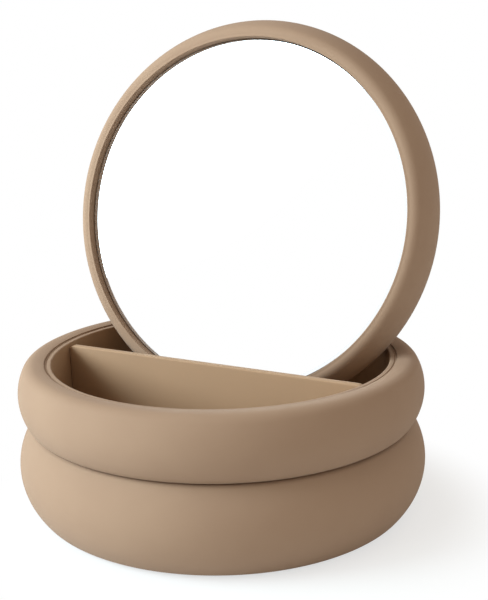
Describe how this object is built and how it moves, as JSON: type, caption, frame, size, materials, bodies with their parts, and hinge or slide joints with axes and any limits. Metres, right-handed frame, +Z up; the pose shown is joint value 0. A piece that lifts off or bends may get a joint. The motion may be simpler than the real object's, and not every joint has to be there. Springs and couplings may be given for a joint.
{
  "type": "round jewelry box with mirror lid",
  "caption": "Round puffed jewelry box: a lower bowl, a stacking tray with a lift-out divider, and a mirror lid that lifts off and stands in the tray as a dressing mirror.",
  "frame": {"origin": "on the table under the middle of the box, at the height of the foot pads' undersides", "axes": "+Z up, +X along the divider to the right, -Y to the front, where the open half of the tray lies"},
  "size_m": [0.18, 0.18, 0.2011],
  "materials": {
    "soft_touch": "matte taupe, soft to the touch",
    "mirror": "silvered glass with a ground edge",
    "pad_rubber": "matt",
    "foam": "foam",
    "steel": "plain"
  },
  "bodies": {
    "bowl": {"lower_shell": "soft_touch", "bowl_liner": "soft_touch", "base_plate": "soft_touch", "base_screws": "steel", "foot_pads": "pad_rubber"},
    "tray": {"upper_shell": "soft_touch", "tray_liner": "soft_touch", "tray_ring": "soft_touch"},
    "divider": {"divider": "soft_touch"},
    "lid": {"lid_shell": "soft_touch", "lid_dish": "soft_touch", "lid_screws": "steel", "mirror_tape": "foam", "mirror_glass": "mirror"}
  },
  "joints": [
    {"name": "tray_lift", "type": "slide", "parent": "bowl", "child": "tray", "axis": [0, 0, 1], "range_m": [0, 0.04]},
    {"name": "divider_lift", "type": "slide", "parent": "tray", "child": "divider", "axis": [0, 0, 1], "range_m": [0, 0.036]},
    {"name": "lid_lift", "type": "slide", "parent": "tray", "child": "lid", "axis": [-0.0105, 0.1768, 0.9842], "range_m": [0, 0.052]}
  ]
}
